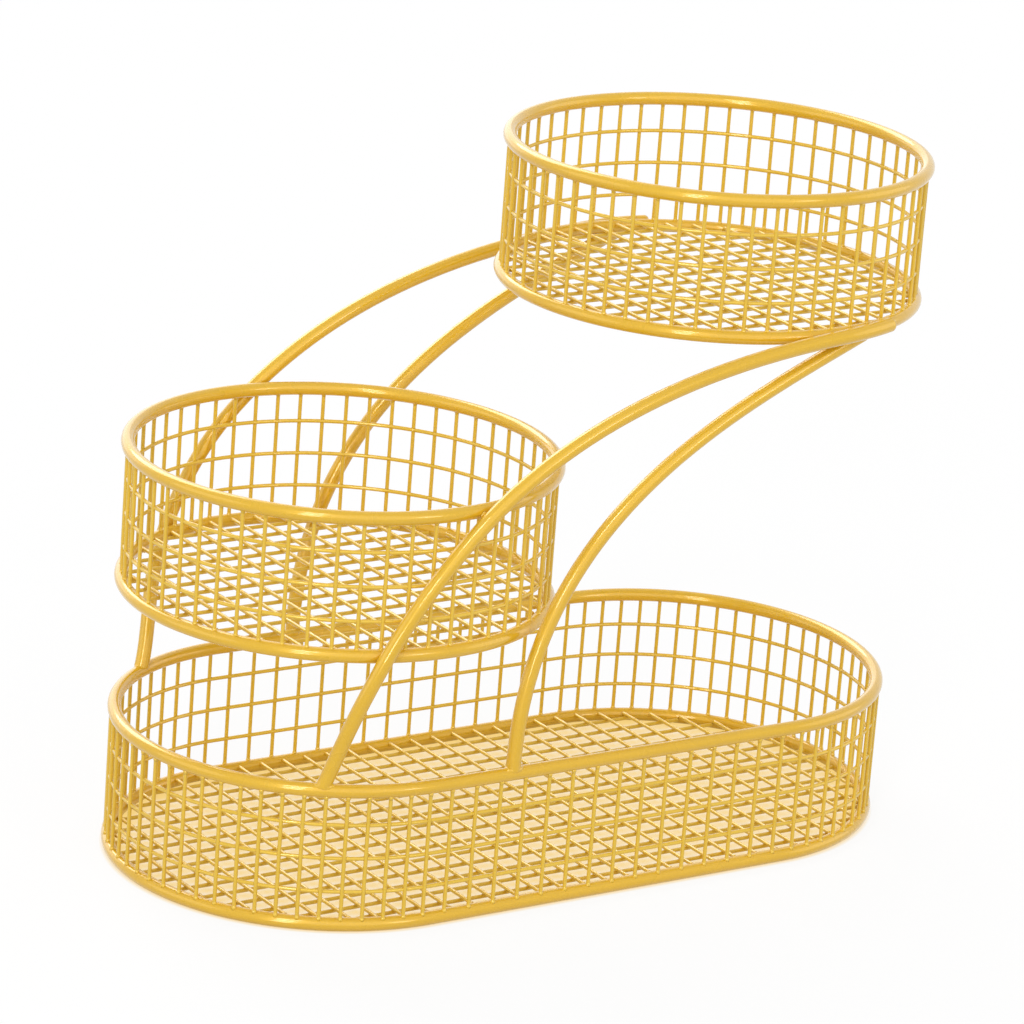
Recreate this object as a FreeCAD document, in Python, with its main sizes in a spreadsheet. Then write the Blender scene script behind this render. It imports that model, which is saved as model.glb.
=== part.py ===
"""Three-tier wire basket: a long base basket and two round baskets held up by four bent wires."""
import FreeCAD, Part
import math
import os

# Driving sizes in millimetres, then angles in degrees and counts.
SIZES = [
    ("end_radius", 86, "axis radius of each round rim and of the base's two round ends"),
    ("half_straight", 86, "half the length of the base's straight sides"),
    ("basket_height", 56, "from the axis of a bottom rim to the axis of its top rim"),
    ("tier_rise", 112, "from one basket up to the next"),
    ("rim_wire", 5.6, "diameter of the rim wire"),
    ("mesh_wire", 1.6, "diameter of the mesh wire"),
    ("support_wire", 6, "diameter of the four support wires"),
    ("floor_pitch", 10.7, "from one floor wire to the next"),
    ("floor_drop", 0.3, "how far the lower floor wires lie under the axis of the bottom rim"),
    ("base_wall_lead", 1.1, "how far the base's wall wires stand out from the axis of its rims"),
    ("hoop_set", 0.5, "how far the hoops are set in from the uprights that they are notched over"),
    ("weld_gap", 0.1, "gap between wires that run side by side and are welded"),
    ("foot_seat", 1.2, "how far a support's foot is coped over the rim that it stands on"),
    ("outer_foot_pull", 48, "length of the outer support's curve handle at its foot"),
    ("outer_end_pull", 222, "length of the outer support's curve handle at its far end"),
    ("outer_end_rise", 2, "height of the outer support's far end over the upper bottom rim's axis"),
    ("back_end_drop", 2, "how much lower the back outer support's far end lies than the front one's"),
    ("end_rounding", 1.8, "rounding of the outer support's far end"),
    ("inner_foot_inset", 34.4, "inner support's foot, from where the base's straight side starts"),
    ("inner_foot_pull", 104, "length of the inner support's curve handle at its foot"),
    ("inner_end_overrun", 16, "inner support's far end, past the upper basket's frontmost point"),
    ("inner_end_drop", 1.3, "depth of the inner support's far end under the upper bottom rim's axis"),
    ("inner_end_pull", 72, "length of the inner support's curve handle at its far end"),
    ("outer_foot_angle", 32, "outer support's foot, round the left end from its frontmost point"),
    ("outer_foot_lean", 23, "lean of the outer support at its foot"),
    ("outer_end_slope", 2, "slope of the outer support at its far end"),
    ("outer_end_angle", 19, "outer support's far end, round the upper basket from its frontmost point"),
    ("inner_end_slope", 23, "slope of the inner support at its far end"),
    ("round_uprights", 56, "uprights round each round basket"),
    ("straight_uprights", 15, "uprights along each straight side of the base"),
    ("end_uprights", 32, "uprights round each end of the base"),
    ("outer_spans", 10, "pairs of arcs along an outer support"),
    ("inner_spans", 6, "pairs of arcs along an inner support"),
]

doc = FreeCAD.newDocument("tiered_wire_basket")
sheet = doc.addObject("Spreadsheet::Sheet", "sizes")
for row, (alias, value, note) in enumerate(SIZES, start=1):
    sheet.set(f"A{row}", note)
    sheet.set(f"B{row}", str(value))
    sheet.setAlias(f"B{row}", alias)
doc.recompute()

# Directions of straight wires: upright, along the base and across it.
UP = FreeCAD.Rotation()
ALONG = FreeCAD.Rotation(FreeCAD.Vector(0, 1, 0), 90)
ACROSS = FreeCAD.Rotation(FreeCAD.Vector(1, 0, 0), -90)

# Hoops round each wall, from the lowest up.
HOOPS = ("lower", "middle", "upper")

# Formulas shared by several pieces.
RIM_RADIUS = "sizes.rim_wire / 2"
ROUND_WALL = "sizes.end_radius"
BASE_WALL = "(sizes.end_radius + sizes.base_wall_lead)"
FLOOR_REACH = "(sizes.end_radius - sizes.rim_wire / 2)"
MESH_RADIUS = "sizes.mesh_wire / 2"
SLOT_DEPTH = "2 * sizes.mesh_wire"


def size(alias):
    """A driving size as a plain number."""
    return float(sheet.get(alias))


def count(alias):
    """A driving count as a whole number."""
    return int(round(size(alias)))


def bind(item, formulas):
    """Ties properties of a piece to the driving sizes."""
    for path, formula in formulas.items():
        item.setExpression(path, formula)


def place(item, turn, x, y, z):
    """Turns a piece and ties its position to the driving sizes."""
    item.Placement = FreeCAD.Placement(FreeCAD.Vector(), turn)
    bind(item, {"Placement.Base.x": x, "Placement.Base.y": y, "Placement.Base.z": z})


def rod(name, wire, length, turn, x, y, z):
    """A straight round wire that starts at x, y, z."""
    item = doc.addObject("Part::Cylinder", name)
    bind(item, {"Radius": f"{wire} / 2", "Height": length})
    place(item, turn, x, y, z)
    return item


def ring(name, radius, wire, x, z, turn=UP, sweep=360):
    """A round wire bent into a circle, or into part of one."""
    item = doc.addObject("Part::Torus", name)
    item.Angle3 = sweep
    bind(item, {"Radius1": radius, "Radius2": f"{wire} / 2"})
    place(item, turn, x, "0", z)
    return item


def long_ring(name, radius, wire, z):
    """A round wire bent into two half circles joined by straight sides."""
    length = "2 * sizes.half_straight"
    right, left = "sizes.half_straight", "-sizes.half_straight"
    half_turn = 180
    to_right = FreeCAD.Rotation(FreeCAD.Vector(0, 0, 1), -half_turn / 2)
    to_left = FreeCAD.Rotation(FreeCAD.Vector(0, 0, 1), half_turn / 2)
    stretches = [
        ring(f"{name}_right", radius, wire, right, z, to_right, half_turn),
        ring(f"{name}_left", radius, wire, left, z, to_left, half_turn),
        rod(f"{name}_front", wire, length, ALONG, left, f"-{radius}", z),
        rod(f"{name}_back", wire, length, ALONG, left, radius, z),
    ]
    item = doc.addObject("Part::MultiFuse", name)
    item.Shapes = stretches
    return item


def group(name, wires):
    """Like wires kept as separate solids in one sub-part."""
    item = doc.addObject("Part::Compound", name)
    item.Links = wires
    return item


def upright(name, x, y, tier):
    """A wall wire that stands on the bottom rim and ends under the top rim."""
    length = "sizes.basket_height - sizes.rim_wire"
    return rod(name, "sizes.mesh_wire", length, UP, x, y, f"{tier} + sizes.rim_wire")


def slot_core(name, wall, x, tier):
    """Space inside the uprights of a round wall, which no slot reaches into."""
    width = f"(2 * {wall} - sizes.mesh_wire)"
    return rod(name, width, "sizes.basket_height", UP, x, "0", f"{tier} + {RIM_RADIUS}")


def round_slot(name, core, wall, x, degrees, tier):
    """Slot for an upright of a round wall, as wide as the upright."""
    width = f"2 * asin({MESH_RADIUS} / {wall})"
    item = doc.addObject("Part::Cylinder", f"{name}_slice")
    bind(item, {"Radius": f"{wall} + {SLOT_DEPTH}", "Height": "sizes.basket_height", "Angle": width})
    start = degrees - item.evalExpression(width).Value / 2
    place(item, FreeCAD.Rotation(FreeCAD.Vector(0, 0, 1), start), x, "0", f"{tier} + {RIM_RADIUS}")
    return coped(name, item, core)


def straight_slot(name, x, y, tier):
    """Slot for an upright of a straight wall, as wide as the upright."""
    item = doc.addObject("Part::Box", name)
    bind(item, {"Length": "sizes.mesh_wire", "Width": SLOT_DEPTH, "Height": "sizes.basket_height"})
    place(item, UP, f"{x} - {MESH_RADIUS}", y, f"{tier} + {RIM_RADIUS}")
    return item


def round_wall(name, x, tier):
    """Uprights spaced evenly round a round basket, and the slots that its hoops have for them."""
    wires = []
    slots = []
    core = slot_core(f"{name}_core", ROUND_WALL, x, tier)
    for step in range(count("round_uprights")):
        degrees = step * 360 / count("round_uprights")
        across = f"{x} + {ROUND_WALL} * cos({degrees})"
        depth = f"{ROUND_WALL} * sin({degrees})"
        wires.append(upright(f"{name}_{step}", across, depth, tier))
        slots.append(round_slot(f"{name}_slot_{step}", core, ROUND_WALL, x, degrees, tier))
    return group(name, wires), group(f"{name}_slots", slots)


def base_wall(name, tier):
    """Uprights spaced evenly along the sides and round the ends of the base, and the slots for them."""
    wires = []
    slots = []
    front_slot = f"{MESH_RADIUS} - {BASE_WALL} - {SLOT_DEPTH}"
    back_slot = f"{BASE_WALL} - {MESH_RADIUS}"
    for step in range(count("straight_uprights")):
        x = f"sizes.half_straight * ((2 * {step} + 1) / sizes.straight_uprights - 1)"
        wires.append(upright(f"{name}_front_{step}", x, f"-{BASE_WALL}", tier))
        wires.append(upright(f"{name}_back_{step}", x, BASE_WALL, tier))
        slots.append(straight_slot(f"{name}_front_slot_{step}", x, front_slot, tier))
        slots.append(straight_slot(f"{name}_back_slot_{step}", x, back_slot, tier))
    for side, x, half_turn in (("right", "sizes.half_straight", 0), ("left", "-sizes.half_straight", 180)):
        core = slot_core(f"{name}_{side}_core", BASE_WALL, x, tier)
        for step in range(count("end_uprights")):
            degrees = (step + 0.5) * 180 / count("end_uprights") - 90 + half_turn
            across = f"{x} + {BASE_WALL} * cos({degrees})"
            depth = f"{BASE_WALL} * sin({degrees})"
            wires.append(upright(f"{name}_{side}_{step}", across, depth, tier))
            slots.append(round_slot(f"{name}_{side}_slot_{step}", core, BASE_WALL, x, degrees, tier))
    return group(name, wires), group(f"{name}_slots", slots)


def floor_steps(reach):
    """Whole steps of the floor pitch that fit on each side of the middle."""
    steps = int((reach - size("mesh_wire")) / size("floor_pitch"))
    return range(-steps, steps + 1)


def long_floor_wires(name, x, straight, tier):
    """Floor wires along the base, side by side, between the walls of the bottom rim."""
    wires = []
    reach = size("end_radius") - size("rim_wire") / 2
    for step in floor_steps(reach):
        edge = f"({abs(step)} * sizes.floor_pitch + {MESH_RADIUS})"
        half = f"({straight} + sqrt({FLOOR_REACH} ^ 2 - {edge} ^ 2))"
        depth = f"{step} * sizes.floor_pitch"
        height = f"{tier} + {RIM_RADIUS} - sizes.floor_drop"
        start = f"{x} - {half}"
        wires.append(rod(f"{name}_{step}", "sizes.mesh_wire", f"2 * {half}", ALONG, start, depth, height))
    return group(name, wires)


def cross_floor_wires(name, x, straight, straight_length, tier):
    """Floor wires across the base that lie on the long ones."""
    wires = []
    reach = straight_length + size("end_radius") - size("rim_wire") / 2
    for step in floor_steps(reach):
        past = f"max(0; {abs(step)} * sizes.floor_pitch + {MESH_RADIUS} - {straight})"
        half = f"sqrt({FLOOR_REACH} ^ 2 - {past} ^ 2)"
        across = f"{x} + {step} * sizes.floor_pitch"
        height = f"{tier} + {RIM_RADIUS} - sizes.floor_drop + sizes.mesh_wire"
        start = f"-{half}"
        wires.append(rod(f"{name}_{step}", "sizes.mesh_wire", f"2 * {half}", ACROSS, across, start, height))
    return group(name, wires)


def level(tier, share):
    """Height of a ring in a basket, as a share of the way from bottom rim to top rim."""
    return f"{tier} + {RIM_RADIUS} + sizes.basket_height * {share}"


def basket(name, tier, x=None):
    """All sub-parts of one basket: round where it has a centre x, and long where it has none."""
    def loop(label, radius, wire, share):
        if x is None:
            return long_ring(label, radius, wire, level(tier, share))
        return ring(label, radius, wire, x, level(tier, share))

    bottom_share = "0"
    top_share = "1"
    parts = {
        f"{name}_bottom_rim": loop(f"{name}_bottom_rim", "sizes.end_radius", "sizes.rim_wire", bottom_share),
        f"{name}_top_rim": loop(f"{name}_top_rim", "sizes.end_radius", "sizes.rim_wire", top_share),
    }
    if x is None:
        wall, middle, straight, straight_length = BASE_WALL, "0", "sizes.half_straight", size("half_straight")
        uprights, slots = base_wall(f"{name}_uprights", tier)
    else:
        wall, middle, straight, straight_length = ROUND_WALL, x, "0", 0
        uprights, slots = round_wall(f"{name}_uprights", x, tier)
    parts[f"{name}_uprights"] = uprights
    for number, hoop in enumerate(HOOPS, start=1):
        label = f"{name}_{hoop}_hoop"
        share = f"{number} / {len(HOOPS) + 1}"
        whole = loop(f"{label}_whole", f"({wall} - sizes.hoop_set)", "sizes.mesh_wire", share)
        parts[label] = coped(label, whole, slots)
    label = f"{name}_floor_long_wires"
    parts[label] = long_floor_wires(label, middle, straight, tier)
    label = f"{name}_floor_cross_wires"
    parts[label] = cross_floor_wires(label, middle, straight, straight_length, tier)
    return parts


def curve_point(poles, share):
    """Point of a four-pole curve at a share of the way along it."""
    rest = 1 - share
    weights = (rest ** 3, 3 * rest ** 2 * share, 3 * rest * share ** 2, share ** 3)
    return [sum(weight * pole[axis] for weight, pole in zip(weights, poles)) for axis in (0, 1)]


def foot_height():
    """Height of a support's foot, coped a little way over the base's top rim."""
    return size("rim_wire") + size("basket_height") - size("foot_seat")


def inner_support_point(share):
    """Point of the inner support, which stays over the straight front of the base's top rim."""
    slope = math.radians(size("inner_end_slope"))
    foot = (size("inner_foot_inset") - size("half_straight"), foot_height())
    end_height = 2 * size("tier_rise") + size("rim_wire") / 2 - size("inner_end_drop")
    end = (size("half_straight") + size("inner_end_overrun"), end_height)
    pull = size("inner_end_pull")
    poles = [
        foot,
        (foot[0], foot[1] + size("inner_foot_pull")),
        (end[0] - pull * math.cos(slope), end[1] - pull * math.sin(slope)),
        end,
    ]
    x, z = curve_point(poles, share)
    return FreeCAD.Vector(x, -size("end_radius"), z)


def outer_support_point(share, end_drop=0):
    """Point of the outer support, which wraps the middle basket and then the upper one's bottom rim."""
    beside = (size("rim_wire") + size("support_wire")) / 2 + size("weld_gap")
    wrap = size("end_radius") + beside
    straight = 2 * size("half_straight")
    first_arc = wrap * math.radians(size("outer_foot_angle"))
    last_arc = wrap * math.radians(size("outer_end_angle"))
    lean = math.radians(size("outer_foot_lean"))
    slope = math.radians(size("outer_end_slope"))
    end_height = 2 * size("tier_rise") + size("rim_wire") / 2 + size("outer_end_rise")
    foot = (0, foot_height())
    end = (first_arc + straight + last_arc, end_height - end_drop)
    foot_pull = size("outer_foot_pull")
    end_pull = size("outer_end_pull")
    poles = [
        foot,
        (foot[0] + foot_pull * math.sin(lean), foot[1] + foot_pull * math.cos(lean)),
        (end[0] - end_pull * math.cos(slope), end_height - end_pull * math.sin(slope)),
        end,
    ]
    run, z = curve_point(poles, share)
    frontmost = -math.pi / 2
    if run < first_arc:
        climb = min((z - foot[1]) / (size("tier_rise") - foot[1]), 1)
        ease = climb ** 2 * (3 - 2 * climb)
        radius = size("end_radius") + beside * ease
        angle = frontmost + (run - first_arc) / wrap
        centre = -size("half_straight")
    elif run < first_arc + straight:
        return FreeCAD.Vector(run - first_arc - size("half_straight"), -wrap, z)
    else:
        radius = wrap
        angle = frontmost + (run - first_arc - straight) / wrap
        centre = size("half_straight")
    return FreeCAD.Vector(centre + radius * math.cos(angle), radius * math.sin(angle), z)


def back_support_point(share):
    """Point of the back outer support before it is mirrored, with its far end a little lower."""
    return outer_support_point(share, size("back_end_drop"))


def heading(point_at, share):
    """Direction of travel along a curve."""
    step_share = 1e-4
    before = point_at(max(share - step_share, 0))
    after = point_at(min(share + step_share, 1))
    return (after - before).normalize()


def arc(start, direction, end):
    """Arc from start to end that leaves in a given direction."""
    chord = end - start
    along = FreeCAD.Vector(chord).normalize()
    aside = direction - along * direction.dot(along)
    half_angle = direction.getAngle(chord) / 2
    if aside.Length < 1e-6:
        return Part.LineSegment(start, end).toShape()
    middle = start + chord / 2 + aside.normalize() * (chord.Length / 2 * math.tan(half_angle))
    return Part.Arc(start, middle, end).toShape()


def two_arcs(start, start_direction, end, end_direction):
    """Two arcs that meet smoothly and join two points with given directions."""
    chord = end - start
    both = chord.dot(start_direction + end_direction)
    spread = 2 * (1 - start_direction.dot(end_direction))
    if spread < 1e-9:
        handle = chord.dot(chord) / (2 * both)
    else:
        handle = (math.sqrt(both ** 2 + spread * chord.dot(chord)) - both) / spread
    joint = (start + end + (start_direction - end_direction) * handle) / 2
    last = arc(end, -end_direction, joint)
    return [arc(start, start_direction, joint), Part.Arc(joint, mid_point(last), end).toShape()]


def mid_point(edge):
    """Point halfway along an edge."""
    return edge.valueAt((edge.FirstParameter + edge.LastParameter) / 2)


def support_line(name, point_at, spans):
    """Axis of a support wire as arcs that run smoothly into one another."""
    edges = []
    for span in range(spans):
        start, end = span / spans, (span + 1) / spans
        edges += two_arcs(point_at(start), heading(point_at, start), point_at(end), heading(point_at, end))
    item = doc.addObject("Part::Feature", name)
    item.Shape = Part.Wire(edges)
    return item


def bent_wire(name, point_at, spans):
    """A round support wire along its axis."""
    line = support_line(f"{name}_axis", point_at, spans)
    section = doc.addObject("Part::Circle", f"{name}_section")
    bind(section, {"Radius": "sizes.support_wire / 2"})
    upward = FreeCAD.Vector(0, 0, 1)
    section.Placement = FreeCAD.Placement(point_at(0), FreeCAD.Rotation(upward, heading(point_at, 0)))
    item = doc.addObject("Part::Sweep", name)
    item.Sections = [section]
    item.Spine = (line, [f"Edge{number}" for number in range(1, len(line.Shape.Edges) + 1)])
    item.Solid = True
    return item


def rounded_end(name, wire, end):
    """A wire whose cut end has its edge rounded."""
    doc.recompute()
    item = doc.addObject("Part::Fillet", name)
    item.Base = wire
    rounding = size("end_rounding")
    for number, edge in enumerate(wire.Shape.Edges, start=1):
        if edge.isClosed() and edge.CenterOfMass.distanceToPoint(end) < rounding:
            item.Edges = [(number, rounding, rounding)]
    return item


def coped(name, wire, *neighbours):
    """A wire that is shaped to the wires that it is welded to."""
    for number, neighbour in enumerate(neighbours, start=1):
        last = number == len(neighbours)
        item = doc.addObject("Part::Cut", name if last else f"{name}_cope_{number}")
        item.Base = wire
        item.Tool = neighbour
        wire = item
    return wire


def mirrored(name, front_wire):
    """The same wire at the back of the baskets."""
    item = doc.addObject("Part::Mirroring", name)
    item.Source = front_wire
    item.Normal = FreeCAD.Vector(0, 1, 0)
    return item


def support_pair(side, outer_point, inner_wire):
    """An outer and an inner support at the front, coped over the wires that they are welded to."""
    outer_wire = bent_wire(f"{side}_outer_wire", outer_point, count("outer_spans"))
    rounded = rounded_end(f"{side}_outer_rounded", outer_wire, outer_point(1))
    outer = coped(f"{side}_outer", rounded, parts["base_top_rim"])
    inner = coped(f"{side}_inner", inner_wire, parts["base_top_rim"], parts["upper_bottom_rim"], outer)
    return outer, inner


# Three baskets, one over the other.
parts = {}
parts.update(basket("base", "0"))
parts.update(basket("middle", "sizes.tier_rise", "-sizes.half_straight"))
parts.update(basket("upper", "2 * sizes.tier_rise", "sizes.half_straight"))

# Four supports: an outer and an inner wire at the front, and two like them at the back.
inner_wire = bent_wire("inner_wire", inner_support_point, count("inner_spans"))
front_outer, front_inner = support_pair("front", outer_support_point, inner_wire)
back_outer, back_inner = support_pair("back", back_support_point, inner_wire)
parts["front_outer_support"] = front_outer
parts["front_inner_support"] = front_inner
parts["back_outer_support"] = mirrored("back_outer_mirrored", back_outer)
parts["back_inner_support"] = mirrored("back_inner_mirrored", back_inner)
for label, item in parts.items():
    item.Label = label
doc.recompute()

# Every piece has to be sound before any is written.
for item in doc.Objects:
    if "Invalid" in item.State or "Error" in item.State:
        raise RuntimeError(f"{item.Label} failed to build: {item.State}")
for label, item in parts.items():
    if item.Shape.isNull() or not item.Shape.isValid() or not item.Shape.Solids:
        raise RuntimeError(f"{label} has no valid solid")
for wire in doc.findObjects("Part::Sweep"):
    expected = math.pi * (size("support_wire") / 2) ** 2 * wire.Spine[0].Shape.Length
    print(f"{wire.Label}: volume over section times length {wire.Shape.Volume / expected:.4f}")

os.makedirs("parts", exist_ok=True)
for label, item in parts.items():
    item.Shape.exportStep(f"parts/{label}.step")
    print(f"{label}: {len(item.Shape.Solids)} solids, {item.Shape.Volume:.1f} cubic mm")
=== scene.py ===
"""Looks of the tiered wire basket: painted wires, their welds and a white studio."""
import math

import bmesh
import bpy
from bpy.props import FloatProperty, FloatVectorProperty, IntProperty, PointerProperty
from mathutils import Matrix, Vector
from mathutils.bvhtree import BVHTree


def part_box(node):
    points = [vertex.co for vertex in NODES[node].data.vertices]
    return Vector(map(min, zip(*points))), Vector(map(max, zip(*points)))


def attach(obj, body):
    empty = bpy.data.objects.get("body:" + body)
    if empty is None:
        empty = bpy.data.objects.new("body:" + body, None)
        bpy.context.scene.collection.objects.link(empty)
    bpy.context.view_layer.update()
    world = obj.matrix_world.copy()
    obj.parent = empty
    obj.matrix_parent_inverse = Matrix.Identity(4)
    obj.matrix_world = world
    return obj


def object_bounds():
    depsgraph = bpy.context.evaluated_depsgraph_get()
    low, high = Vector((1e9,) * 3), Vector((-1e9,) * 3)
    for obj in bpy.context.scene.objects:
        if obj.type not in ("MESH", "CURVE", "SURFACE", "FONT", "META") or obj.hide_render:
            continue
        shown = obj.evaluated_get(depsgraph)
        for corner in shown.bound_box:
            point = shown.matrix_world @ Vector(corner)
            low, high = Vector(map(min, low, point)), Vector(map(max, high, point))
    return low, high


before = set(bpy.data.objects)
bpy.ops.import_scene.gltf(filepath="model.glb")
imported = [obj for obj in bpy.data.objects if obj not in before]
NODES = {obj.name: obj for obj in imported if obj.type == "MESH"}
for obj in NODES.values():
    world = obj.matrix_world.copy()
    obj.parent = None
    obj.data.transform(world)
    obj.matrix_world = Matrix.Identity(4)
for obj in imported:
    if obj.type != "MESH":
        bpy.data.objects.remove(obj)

bl_info = {
    "name": "Tiered wire basket",
    "version": (1, 0, 0),
    "blender": (4, 5, 0),
    "location": "View3D > Sidebar > Basket",
    "description": "Paints the wires of a tiered wire basket, adds its welds and sets the studio",
    "category": "Object",
}

CAD_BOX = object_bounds()
BODY = "root"
TIERS = ("base", "middle", "upper")
HOOPS = ("lower", "middle", "upper")
SUPPORTS = ("front_outer", "front_inner", "back_outer", "back_inner")


def extent(node, axis):
    """Size of a node along one axis of the frame, in metres."""
    low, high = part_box(node)
    return high[axis] - low[axis]


def middle_of(node):
    """Centre of a node's box."""
    low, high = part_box(node)
    return (low + high) / 2


RIM_WIRE = extent("base_top_rim", 2)
MESH_WIRE = extent("base_lower_hoop", 2)
SUPPORT_WIRE = extent("front_inner_support", 1)
END_RADIUS = (extent("base_top_rim", 1) - RIM_WIRE) / 2
HALF_STRAIGHT = (extent("base_top_rim", 0) - RIM_WIRE) / 2 - END_RADIUS


class BasketPaint(bpy.types.PropertyGroup):
    """Colours and gloss of the paint."""
    gold: FloatVectorProperty(
        name="Gold", description="Colour of the paint on the rims and supports", subtype="COLOR", size=3,
        min=0, max=1, default=(0.79, 0.47, 0.018))
    mesh_gold: FloatVectorProperty(
        name="Mesh gold", description="Colour of the thinner paint on the mesh", subtype="COLOR", size=3,
        min=0, max=1, default=(0.81, 0.53, 0.038))
    # Deeper gold, used for the random drift in tone and also for the painted shade laid where wires meet and other
    # surfaces stand close.
    deep_gold_and_shade: FloatVectorProperty(
        name="Deep gold", description="Colour where the paint is thick", subtype="COLOR", size=3,
        min=0, max=1, default=(0.62, 0.36, 0.022))
    pale_gold: FloatVectorProperty(
        name="Pale gold", description="Colour where the paint is rubbed thin", subtype="COLOR", size=3,
        min=0, max=1, default=(0.90, 0.70, 0.18))
    roughness: FloatProperty(
        name="Roughness", description="Roughness of clean paint", subtype="FACTOR", min=0, max=1, default=0.26)
    metal: FloatProperty(
        name="Metal", description="Share of metallic flake in the paint", subtype="FACTOR", min=0, max=1, default=0.12)


class BasketWelds(bpy.types.PropertyGroup):
    """Sizes of the welds, as shares of the wire that they are on."""
    nugget_share: FloatProperty(
        name="Nugget", description="Width of a spot weld over the mesh wire", subtype="FACTOR",
        min=0.5, max=2, default=1.3)
    collar_share: FloatProperty(
        name="Collar", description="Width of the paint collar at a wire's end over the wire", subtype="FACTOR",
        min=1, max=2, default=1.3)
    bead_share: FloatProperty(
        name="Bead", description="Width of a weld bead over the support wire", subtype="FACTOR",
        min=0.2, max=1, default=0.6)
    collar_sides: IntProperty(
        name="Collar sides", description="Sides of a paint collar", min=6, max=32, default=12)


class BasketStage(bpy.types.PropertyGroup):
    """Camera and light of the studio."""
    azimuth: FloatProperty(
        name="Azimuth", description="Camera's bearing round the basket", subtype="ANGLE",
        default=math.radians(-34.355))
    elevation: FloatProperty(
        name="Elevation", description="Camera's height over the horizon", subtype="ANGLE",
        default=math.radians(17.763))
    roll: FloatProperty(
        name="Roll", description="Camera's turn about its line of sight", subtype="ANGLE",
        default=math.radians(4.391))
    distance: FloatProperty(
        name="Distance", description="Camera's distance from the point that it looks at", unit="LENGTH",
        default=2.03968)
    lens: FloatProperty(
        name="Lens", description="Focal length on a 36 mm sensor", unit="CAMERA", default=174.93)
    aim: FloatVectorProperty(
        name="Aim", description="Point that the camera looks at", subtype="XYZ", unit="LENGTH", size=3,
        default=(-0.002774, 0.0, 0.135571))
    ambient: FloatProperty(
        name="Ambient", description="Light from all round", min=0, max=2, default=0.44)
    key: FloatProperty(
        name="Key", description="Light of each third of the tall box beside the camera", min=0, max=2, default=0.12)
    fill: FloatProperty(
        name="Fill", description="Light of the wide box over the camera", min=0, max=2, default=0.17)
    side: FloatProperty(
        name="Side", description="Light of the small box on the camera's other side", min=0, max=2, default=0.05)
    sides: FloatProperty(
        name="Sides", description="Light of each wide box at the basket's two ends", min=0, max=2, default=0.12)
    back: FloatProperty(
        name="Back", description="Light of the high box behind the basket", min=0, max=2, default=0.30)
    backdrop: FloatProperty(
        name="Backdrop", description="Light of the low backdrop behind the basket", min=0, max=2, default=0.15)
    # Painted shade on the floor: the golden colour under the wires stands in for their shadow and for the gold light
    # that they throw back.
    shade: FloatVectorProperty(
        name="Shade", description="Colour of the floor close under the wires", subtype="COLOR", size=3,
        min=0, max=1, default=(0.975, 0.61, 0.03))
    shade_reach: FloatProperty(
        name="Shade reach", description="How far under the wires the floor is tinted", unit="LENGTH", default=0.008)
    shadow: FloatProperty(
        name="Shadow", description="Depth of the cast shadow on the floor", subtype="FACTOR", min=0, max=1, default=0.12)
    floor_size: FloatProperty(
        name="Floor", description="Width of the floor", unit="LENGTH", default=12.0)


def rgba(colour):
    """A colour with full alpha."""
    return (*colour, 1.0)


def mix_colour(tree, factor, first, second):
    """Mixes two colours, each a plain colour or a node's output."""
    node = tree.nodes.new("ShaderNodeMix")
    node.data_type = "RGBA"
    tree.links.new(factor, node.inputs["Factor"])
    for socket, value in ((node.inputs[6], first), (node.inputs[7], second)):
        if isinstance(value, bpy.types.NodeSocket):
            tree.links.new(value, socket)
        else:
            socket.default_value = rgba(value)
    return node.outputs[2]


def remap(tree, value, low, high, to_low, to_high):
    """Maps a value from one range to another, with its ends held."""
    node = tree.nodes.new("ShaderNodeMapRange")
    tree.links.new(value, node.inputs["Value"])
    for name, number in (("From Min", low), ("From Max", high), ("To Min", to_low), ("To Max", to_high)):
        node.inputs[name].default_value = number
    return node.outputs["Result"]


def calculate(tree, operation, *values):
    """A sum on numbers, each a plain number or a node's output."""
    node = tree.nodes.new("ShaderNodeMath")
    node.operation = operation
    for socket, value in zip(node.inputs, values):
        if isinstance(value, bpy.types.NodeSocket):
            tree.links.new(value, socket)
        else:
            socket.default_value = value
    return node.outputs[0]


def noise(tree, place, scale, detail=3.0):
    """Fractal noise in the frame's coordinates, in cycles per metre."""
    node = tree.nodes.new("ShaderNodeTexNoise")
    node.inputs["Scale"].default_value = scale
    node.inputs["Detail"].default_value = detail
    tree.links.new(place, node.inputs["Vector"])
    return node.outputs["Fac"]


def openness(tree, reach):
    """One in the open, and less where other surfaces stand within reach."""
    node = tree.nodes.new("ShaderNodeAmbientOcclusion")
    node.inputs["Distance"].default_value = reach
    node.samples = 8
    return node.outputs["AO"]


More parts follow.
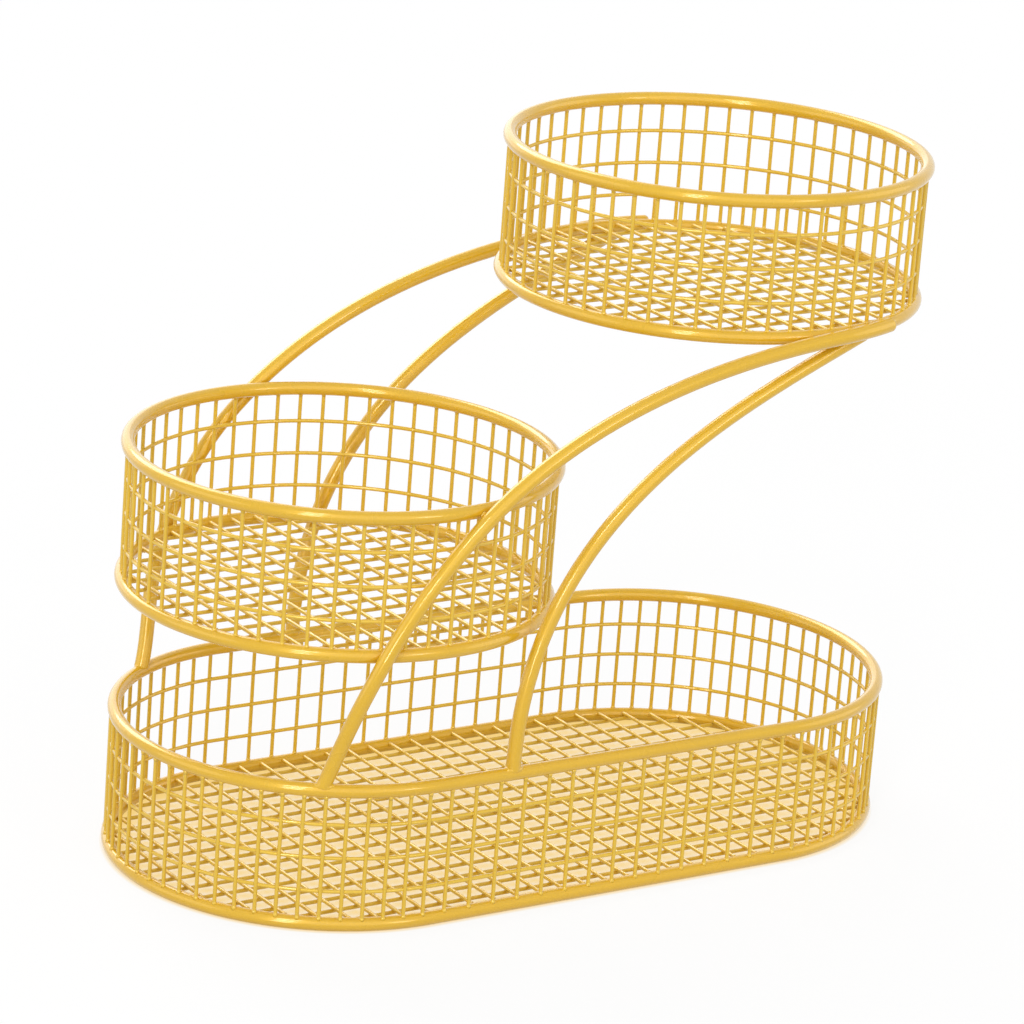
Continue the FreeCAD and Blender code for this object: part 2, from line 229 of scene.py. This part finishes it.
def painted_wire(name, paint, gold, wire):
    """Glossy golden paint on a wire of a given thickness, with painted shade where other surfaces stand close."""
    material = bpy.data.materials.new(name)
    material.use_nodes = True
    tree = material.node_tree
    shader = tree.nodes["Principled BSDF"]
    place = tree.nodes.new("ShaderNodeTexCoord").outputs["Object"]

    drift = remap(tree, noise(tree, place, 14.0), 0.35, 0.65, 0.0, 0.14)
    flake = remap(tree, noise(tree, place, 1500.0, 2.0), 0.45, 0.75, 0.0, 0.10)
    # Painted shade: the colour turns deep gold where ambient occlusion finds other surfaces within half a wire's
    # width, as in the crevices where wires meet.
    crevice_shade = remap(tree, openness(tree, wire / 2), 0.2, 0.8, 0.55, 0.0)

    body = mix_colour(tree, drift, gold, paint.deep_gold_and_shade)
    rubbed = mix_colour(tree, flake, body, paint.pale_gold)
    colour = mix_colour(tree, crevice_shade, rubbed, paint.deep_gold_and_shade)
    tree.links.new(colour, shader.inputs["Base Color"])

    gloss = remap(tree, noise(tree, place, 60.0), 0.3, 0.7, paint.roughness - 0.04, paint.roughness + 0.05)
    tree.links.new(gloss, shader.inputs["Roughness"])
    shader.inputs["Metallic"].default_value = paint.metal
    shader.inputs["Specular IOR Level"].default_value = 0.2
    shader.inputs["Coat Weight"].default_value = 0.8
    shader.inputs["Coat Roughness"].default_value = 0.07

    bump = tree.nodes.new("ShaderNodeBump")
    bump.inputs["Strength"].default_value = 0.015
    bump.inputs["Distance"].default_value = wire / 80
    tree.links.new(noise(tree, place, 6 / wire, 2.0), bump.inputs["Height"])
    tree.links.new(bump.outputs["Normal"], shader.inputs["Normal"])
    return material


def paint_nodes(names, material):
    """Gives CAD nodes a paint."""
    for name in names:
        data = NODES[name].data
        data.materials.clear()
        data.materials.append(material)


def islands(node):
    """Box of each separate wire in a node: its lowest and highest corners."""
    mesh = bmesh.new()
    mesh.from_mesh(NODES[node].data)
    bmesh.ops.remove_doubles(mesh, verts=mesh.verts, dist=MESH_WIRE / 1000)
    left = set(mesh.verts)
    boxes = []
    while left:
        edge = [left.pop()]
        points = []
        while edge:
            vert = edge.pop()
            points.append(vert.co.copy())
            for joined in vert.link_edges:
                other = joined.other_vert(vert)
                if other in left:
                    left.remove(other)
                    edge.append(other)
        low = Vector(min(point[axis] for point in points) for axis in range(3))
        high = Vector(max(point[axis] for point in points) for axis in range(3))
        boxes.append((low, high))
    mesh.free()
    return boxes


def surface(node):
    """A node's surface, to look for its nearest point."""
    data = NODES[node].data
    return BVHTree.FromPolygons([vert.co for vert in data.vertices], [face.vertices for face in data.polygons])


def contact(points, rim):
    """Where a wire comes closest to a rim: the place, the way out of the rim and the gap."""
    found = ((*rim.find_nearest(point), point) for point in points)
    place, way, _, gap, point = min(found, key=lambda item: item[3])
    return (place + point) / 2, way, gap


def outward(tier, point):
    """Direction out of a basket's wall at a point of it."""
    if tier == "base":
        spine_x = max(-HALF_STRAIGHT, min(HALF_STRAIGHT, point.x))
    else:
        spine_x = middle_of(f"{tier}_top_rim").x
    return Vector((point.x - spine_x, point.y, 0)).normalized()


def add_blob(mesh, place, across, along, up, sizes):
    """Adds a smooth blob with half sizes along three directions."""
    turn = Matrix((across * sizes[0], along * sizes[1], up * sizes[2])).transposed().to_4x4()
    bmesh.ops.create_icosphere(mesh, subdivisions=2, radius=1, matrix=Matrix.Translation(place) @ turn)


def add_collar(mesh, foot, direction, radius, wide, height, sides):
    """Adds a flared collar of paint round a wire's end, widest at its foot."""
    side = direction.orthogonal().normalized()
    other = direction.cross(side)
    profile = ((-1.2, wide), (0.0, wide), (0.25, (wide + 2 * radius) / 3), (1.0, radius * 1.01))
    rings = []
    for share, reach in profile:
        centre = foot + direction * (share * height)
        ring = []
        for step in range(sides):
            angle = math.tau * step / sides
            ring.append(mesh.verts.new(centre + (side * math.cos(angle) + other * math.sin(angle)) * reach))
        rings.append(ring)
    for lower, upper in zip(rings, rings[1:]):
        for step in range(sides):
            after = (step + 1) % sides
            mesh.faces.new((lower[step], lower[after], upper[after], upper[step]))
    mesh.faces.new(reversed(rings[0]))
    mesh.faces.new(rings[-1])


def finish_piece(name, mesh, material):
    """Makes a smooth piece of a mesh and lets it ride on the basket."""
    bmesh.ops.recalc_face_normals(mesh, faces=mesh.faces)
    for face in mesh.faces:
        face.smooth = True
    data = bpy.data.meshes.new(name)
    mesh.to_mesh(data)
    mesh.free()
    data.materials.append(material)
    piece = bpy.data.objects.new(name, data)
    bpy.context.scene.collection.objects.link(piece)
    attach(piece, BODY)
    return piece


class BASKET_OT_paint_rims(bpy.types.Operator):
    """Paints the thick rims of all three baskets"""
    bl_idname = "basket.paint_rims"
    bl_label = "Paint rims"

    def execute(self, context):
        paint = context.scene.basket_paint
        material = painted_wire("rim_paint", paint, paint.gold, RIM_WIRE)
        paint_nodes([f"{tier}_{rim}_rim" for tier in TIERS for rim in ("top", "bottom")], material)
        return {"FINISHED"}


class BASKET_OT_paint_walls(bpy.types.Operator):
    """Paints the hoops and uprights of the walls"""
    bl_idname = "basket.paint_walls"
    bl_label = "Paint walls"

    def execute(self, context):
        paint = context.scene.basket_paint
        material = painted_wire("wall_paint", paint, paint.mesh_gold, MESH_WIRE)
        paint_nodes([f"{tier}_{hoop}_hoop" for tier in TIERS for hoop in HOOPS], material)
        paint_nodes([f"{tier}_uprights" for tier in TIERS], material)
        return {"FINISHED"}


class BASKET_OT_paint_floors(bpy.types.Operator):
    """Paints the two layers of floor wires"""
    bl_idname = "basket.paint_floors"
    bl_label = "Paint floors"

    def execute(self, context):
        paint = context.scene.basket_paint
        material = painted_wire("floor_paint", paint, paint.mesh_gold, MESH_WIRE)
        paint_nodes([f"{tier}_floor_{way}_wires" for tier in TIERS for way in ("long", "cross")], material)
        return {"FINISHED"}


class BASKET_OT_paint_supports(bpy.types.Operator):
    """Paints the four bent supports"""
    bl_idname = "basket.paint_supports"
    bl_label = "Paint supports"

    def execute(self, context):
        paint = context.scene.basket_paint
        material = painted_wire("support_paint", paint, paint.gold, SUPPORT_WIRE)
        paint_nodes([f"{support}_support" for support in SUPPORTS], material)
        return {"FINISHED"}


class BASKET_OT_weld_walls(bpy.types.Operator):
    """Adds the spot welds of the walls and the paint collars of the uprights"""
    bl_idname = "basket.weld_walls"
    bl_label = "Weld walls"

    def execute(self, context):
        welds = context.scene.basket_welds
        material = bpy.data.materials["wall_paint"]
        up = Vector((0, 0, 1))
        radius = MESH_WIRE / 2
        for tier in TIERS:
            mesh = bmesh.new()
            heights = [middle_of(f"{tier}_{hoop}_hoop").z for hoop in HOOPS]
            for low, high in islands(f"{tier}_uprights"):
                axis = (low + high) / 2
                out = outward(tier, axis)
                round_wall = up.cross(out)
                reach = welds.nugget_share * radius
                for height in heights:
                    crossing = Vector((axis.x, axis.y, height)) - out * radius / 4
                    add_blob(mesh, crossing, out, round_wall, up, (radius * 0.9, reach, reach))
                wide = welds.collar_share * radius
                foot, head = Vector((axis.x, axis.y, low.z)), Vector((axis.x, axis.y, high.z))
                add_collar(mesh, foot, up, radius, wide, MESH_WIRE / 2, welds.collar_sides)
                add_collar(mesh, head, -up, radius, wide, MESH_WIRE / 2, welds.collar_sides)
            finish_piece(f"{tier}_wall_welds", mesh, material)
        return {"FINISHED"}


class BASKET_OT_weld_floors(bpy.types.Operator):
    """Adds the spot welds between the two layers of floor wires and at their ends"""
    bl_idname = "basket.weld_floors"
    bl_label = "Weld floors"

    def execute(self, context):
        welds = context.scene.basket_welds
        material = bpy.data.materials["floor_paint"]
        along, across, up = Vector((1, 0, 0)), Vector((0, 1, 0)), Vector((0, 0, 1))
        radius = MESH_WIRE / 2
        reach = 0.9 * radius
        end = 1.15 * radius
        for tier in TIERS:
            mesh = bmesh.new()
            long_wires = islands(f"{tier}_floor_long_wires")
            cross_wires = islands(f"{tier}_floor_cross_wires")
            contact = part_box(f"{tier}_floor_long_wires")[1].z
            for long_low, long_high in long_wires:
                y = (long_low.y + long_high.y) / 2
                for cross_low, cross_high in cross_wires:
                    x = (cross_low.x + cross_high.x) / 2
                    if long_low.x < x < long_high.x and cross_low.y < y < cross_high.y:
                        add_blob(mesh, Vector((x, y, contact)), along, across, up, (reach, reach, radius * 0.6))
            for low, high in long_wires:
                axis = (low + high) / 2
                for x in (low.x, high.x):
                    add_blob(mesh, Vector((x, axis.y, axis.z)), along, across, up, (end, end, end))
            for low, high in cross_wires:
                axis = (low + high) / 2
                for y in (low.y, high.y):
                    add_blob(mesh, Vector((axis.x, y, axis.z)), along, across, up, (end, end, end))
            finish_piece(f"{tier}_floor_welds", mesh, material)
        return {"FINISHED"}


class BASKET_OT_weld_supports(bpy.types.Operator):
    """Adds the weld beads where the supports stand on a rim or touch one"""
    bl_idname = "basket.weld_supports"
    bl_label = "Weld supports"

    def execute(self, context):
        reach = context.scene.basket_welds.bead_share * SUPPORT_WIRE / 2
        material = bpy.data.materials["support_paint"]
        up = Vector((0, 0, 1))
        seat = surface("base_top_rim")
        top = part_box("base_top_rim")[1].z
        rims = [surface(name) for name in ("middle_bottom_rim", "middle_top_rim", "upper_bottom_rim")]
        for support in SUPPORTS:
            mesh = bmesh.new()
            points = [vert.co.copy() for vert in NODES[f"{support}_support"].data.vertices]
            seated = [point for point in points if seat.find_nearest(point)[3] < MESH_WIRE / 10]
            foot = sum(seated, Vector()) / len(seated)
            out = outward("base", foot)
            foot.z = top - reach / 2
            sizes = (RIM_WIRE / 2, SUPPORT_WIRE / 2 + reach, reach)
            add_blob(mesh, foot, out, up.cross(out), up, sizes)
            for rim in rims:
                place, way, gap = contact(points, rim)
                if gap < MESH_WIRE:
                    side = way.orthogonal().normalized()
                    add_blob(mesh, place, way, side, way.cross(side), (reach / 2, reach, reach))
            finish_piece(f"{support}_support_welds", mesh, material)
        return {"FINISHED"}


def camera_turn(stage):
    """Axes of the camera as the columns of a matrix."""
    flat = math.cos(stage.elevation)
    back = Vector((math.sin(stage.azimuth) * flat, -math.cos(stage.azimuth) * flat, math.sin(stage.elevation)))
    right = Vector((0, 0, 1)).cross(back).normalized()
    up = back.cross(right)
    cos, sin = math.cos(stage.roll), math.sin(stage.roll)
    return Matrix((right * cos + up * sin, up * cos - right * sin, back)).transposed()


def set_camera(scene, stage):
    """Puts the camera where the photograph was taken from."""
    data = bpy.data.cameras.new("camera")
    data.sensor_width = 36
    data.lens = stage.lens
    data.clip_end = 100
    camera = bpy.data.objects.new("camera", data)
    turn = camera_turn(stage)
    camera.matrix_world = Matrix.Translation(Vector(stage.aim) + turn.col[2] * stage.distance) @ turn.to_4x4()
    scene.collection.objects.link(camera)
    scene.camera = camera


def soft_light(scene, name, azimuth, elevation, spread, level):
    """A large far soft box, whose level is what it adds to a white surface that faces it."""
    data = bpy.data.lights.new(name, "SUN")
    data.angle = math.radians(spread)
    data.energy = level * math.pi
    lamp = bpy.data.objects.new(name, data)
    bearing, height = math.radians(azimuth), math.radians(elevation)
    away = Vector((math.sin(bearing) * math.cos(height), -math.cos(bearing) * math.cos(height), math.sin(height)))
    lamp.location = away
    lamp.rotation_euler = away.to_track_quat("Z", "Y").to_euler()
    scene.collection.objects.link(lamp)
    return level * away.z


def seen_directly(tree):
    """One where the camera, a reflection or a view through glass meets the surface first, and zero elsewhere."""
    path = tree.nodes.new("ShaderNodeLightPath").outputs
    reflected = calculate(tree, "MAXIMUM", path["Is Camera Ray"], path["Is Glossy Ray"])
    return calculate(tree, "MAXIMUM", reflected, path["Is Transmission Ray"])


def inside_base(tree):
    """Mask of the painted floor shade: one on the floor inside the base's bottom rim, falling to zero just outside it.
    """
    place = tree.nodes.new("ShaderNodeSeparateXYZ")
    tree.links.new(tree.nodes.new("ShaderNodeTexCoord").outputs["Object"], place.inputs[0])
    past_straight = calculate(tree, "SUBTRACT", calculate(tree, "ABSOLUTE", place.outputs["X"]), HALF_STRAIGHT)
    along = calculate(tree, "MAXIMUM", past_straight, 0.0)
    squares = [calculate(tree, "MULTIPLY", side, side) for side in (along, place.outputs["Y"])]
    distance = calculate(tree, "SQRT", calculate(tree, "ADD", *squares))
    return remap(tree, distance, END_RADIUS, END_RADIUS + RIM_WIRE * 0.65, 1.0, 0.0)


def set_world(scene, stage):
    """White all round, with a plain level of light."""
    world = bpy.data.worlds.new("studio")
    world.use_nodes = True
    tree = world.node_tree
    strength = remap(tree, seen_directly(tree), 0.0, 1.0, stage.ambient, 1.0)
    tree.links.new(strength, tree.nodes["Background"].inputs["Strength"])
    tree.nodes["Background"].inputs["Color"].default_value = (1, 1, 1, 1)
    scene.world = world


def set_floor(scene, stage, light):
    """A floor that is white in open light, with painted golden shade under the wires, and that takes the basket's cast
    shadow.
    """
    mesh = bmesh.new()
    bmesh.ops.create_grid(mesh, x_segments=1, y_segments=1, size=stage.floor_size / 2)
    data = bpy.data.meshes.new("floor")
    mesh.to_mesh(data)
    mesh.free()
    floor = bpy.data.objects.new("floor", data)
    floor.location.z = CAD_BOX[0].z
    material = bpy.data.materials.new("white_floor")
    material.use_nodes = True
    tree = material.node_tree
    tree.nodes.clear()
    plain = tree.nodes.new("ShaderNodeBsdfDiffuse")
    plain.inputs["Color"].default_value = (0.6, 0.6, 0.6, 1)
    lit = tree.nodes.new("ShaderNodeBsdfDiffuse")
    lit.inputs["Color"].default_value = rgba([stage.shadow / light] * 3)
    glow = tree.nodes.new("ShaderNodeEmission")
    glow.inputs["Strength"].default_value = 1 - stage.shadow
    # Painted shade: the floor seen directly turns golden inside the base where ambient occlusion finds wires close
    # overhead, for their shadow and thrown-back gold light.
    under_wires = remap(tree, openness(tree, stage.shade_reach), 0.59, 0.95, 0.8, 0.0)
    tinted = calculate(tree, "MULTIPLY", under_wires, inside_base(tree))
    tree.links.new(mix_colour(tree, tinted, (1, 1, 1), stage.shade), glow.inputs["Color"])
    seen = tree.nodes.new("ShaderNodeAddShader")
    either = tree.nodes.new("ShaderNodeMixShader")
    output = tree.nodes.new("ShaderNodeOutputMaterial")
    tree.links.new(lit.outputs[0], seen.inputs[0])
    tree.links.new(glow.outputs[0], seen.inputs[1])
    tree.links.new(seen_directly(tree), either.inputs[0])
    tree.links.new(plain.outputs[0], either.inputs[1])
    tree.links.new(seen.outputs[0], either.inputs[2])
    tree.links.new(either.outputs[0], output.inputs["Surface"])
    data.materials.append(material)
    scene.collection.objects.link(floor)


class BASKET_OT_set_stage(bpy.types.Operator):
    """Sets the camera, lights, world and floor"""
    bl_idname = "basket.set_stage"
    bl_label = "Set stage"

    def execute(self, context):
        scene, stage = context.scene, context.scene.basket_stage
        set_camera(scene, stage)
        set_world(scene, stage)
        light = stage.ambient
        for part, elevation in (("low", 4), ("middle", 24), ("high", 46)):
            light += soft_light(scene, f"key_{part}", -47, elevation, 12, stage.key)
        light += soft_light(scene, "fill", -8, 25, 60, stage.fill)
        light += soft_light(scene, "side", 15, 20, 12, stage.side)
        light += soft_light(scene, "left", -105, 15, 45, stage.sides)
        light += soft_light(scene, "right", 65, 15, 45, stage.sides)
        light += soft_light(scene, "back", 178, 38, 34, stage.back)
        light += soft_light(scene, "backdrop", 175, 18, 60, stage.backdrop)
        set_floor(scene, stage, light)
        scene.view_settings.view_transform = "Standard"
        return {"FINISHED"}


class BASKET_PT_panel(bpy.types.Panel):
    """Lists the sizes, colours and steps of the basket"""
    bl_idname = "BASKET_PT_panel"
    bl_label = "Tiered wire basket"
    bl_space_type = "VIEW_3D"
    bl_region_type = "UI"
    bl_category = "Basket"

    def draw(self, context):
        for group in (context.scene.basket_paint, context.scene.basket_welds, context.scene.basket_stage):
            box = self.layout.box()
            for name in group.bl_rna.properties.keys():
                if name not in ("rna_type", "name"):
                    box.prop(group, name)
        for operator in OPERATORS:
            self.layout.operator(operator.bl_idname)


GROUPS = {"basket_paint": BasketPaint, "basket_welds": BasketWelds, "basket_stage": BasketStage}
OPERATORS = (
    BASKET_OT_paint_rims,
    BASKET_OT_paint_walls,
    BASKET_OT_paint_floors,
    BASKET_OT_paint_supports,
    BASKET_OT_weld_walls,
    BASKET_OT_weld_floors,
    BASKET_OT_weld_supports,
    BASKET_OT_set_stage,
)


def register():
    """Adds the classes and the scene's settings."""
    for name, group in GROUPS.items():
        bpy.utils.register_class(group)
        setattr(bpy.types.Scene, name, PointerProperty(type=group))
    for item in (*OPERATORS, BASKET_PT_panel):
        bpy.utils.register_class(item)


def unregister():
    """Takes away what register added."""
    for item in (BASKET_PT_panel, *reversed(OPERATORS)):
        bpy.utils.unregister_class(item)
    for name, group in GROUPS.items():
        delattr(bpy.types.Scene, name)
        bpy.utils.unregister_class(group)


def main():
    """Builds the looks."""
    register()
    for step in (
        bpy.ops.basket.paint_rims,
        bpy.ops.basket.paint_walls,
        bpy.ops.basket.paint_floors,
        bpy.ops.basket.paint_supports,
        bpy.ops.basket.weld_walls,
        bpy.ops.basket.weld_floors,
        bpy.ops.basket.weld_supports,
        bpy.ops.basket.set_stage,
    ):
        step()


if __name__ == "__main__":
    main()
